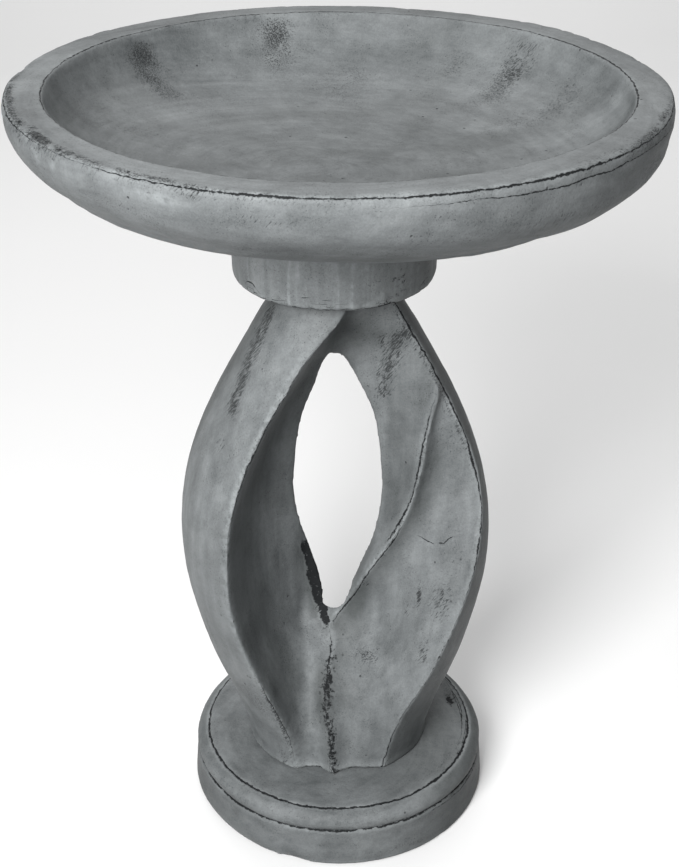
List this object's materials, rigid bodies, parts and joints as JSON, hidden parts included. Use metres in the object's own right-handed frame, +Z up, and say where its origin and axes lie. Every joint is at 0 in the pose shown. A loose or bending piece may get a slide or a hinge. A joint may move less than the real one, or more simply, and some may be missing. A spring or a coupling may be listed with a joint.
{
  "type": "garden bird bath",
  "caption": "Round dished bowl on a collar, carried by an openwork column of two twisted leaves on a round moulded plinth.",
  "frame": {"origin": "on the ground at the centre of the plinth's underside", "axes": "+Z up along the column's axis, -Y the front from which the window is seen squarely, +X to the right of that view"},
  "size_m": [0.4574, 0.4574, 0.61],
  "materials": {
    "bowl_casting": "painted cast stone, satin, weathered",
    "collar_casting": "painted cast stone, satin, weathered",
    "column_casting": "painted cast stone, satin, weathered",
    "plinth_casting": "painted cast stone, satin, weathered",
    "mortar": "rough cement",
    "reinforcement": "rusted",
    "pin_steel": "brushed",
    "sleeve_steel": "zinc plated",
    "pad_rubber": "matt"
  },
  "bodies": {
    "pedestal": {"plinth": "plinth_casting", "plinth_hoop": "reinforcement", "mortar_lower": "mortar", "leaf_column": "column_casting", "bar_left": "reinforcement", "bar_right": "reinforcement", "mortar_upper": "mortar", "collar": "collar_casting", "sleeve_lower": "sleeve_steel", "pad_1": "pad_rubber", "pad_2": "pad_rubber", "pad_3": "pad_rubber"},
    "pin": {"locating_pin": "pin_steel"},
    "basin": {"bowl": "bowl_casting", "bowl_hoop": "reinforcement", "sleeve_upper": "sleeve_steel"}
  },
  "joints": [
    {"name": "bowl_turn", "type": "hinge", "parent": "pedestal", "child": "pin", "pos_m": [0, 0, 0.508], "axis": [0, 0, 1], "continuous": true},
    {"name": "bowl_lift", "type": "slide", "parent": "pin", "child": "basin", "axis": [0, 0, 1], "range_m": [0, 0.12]}
  ]
}
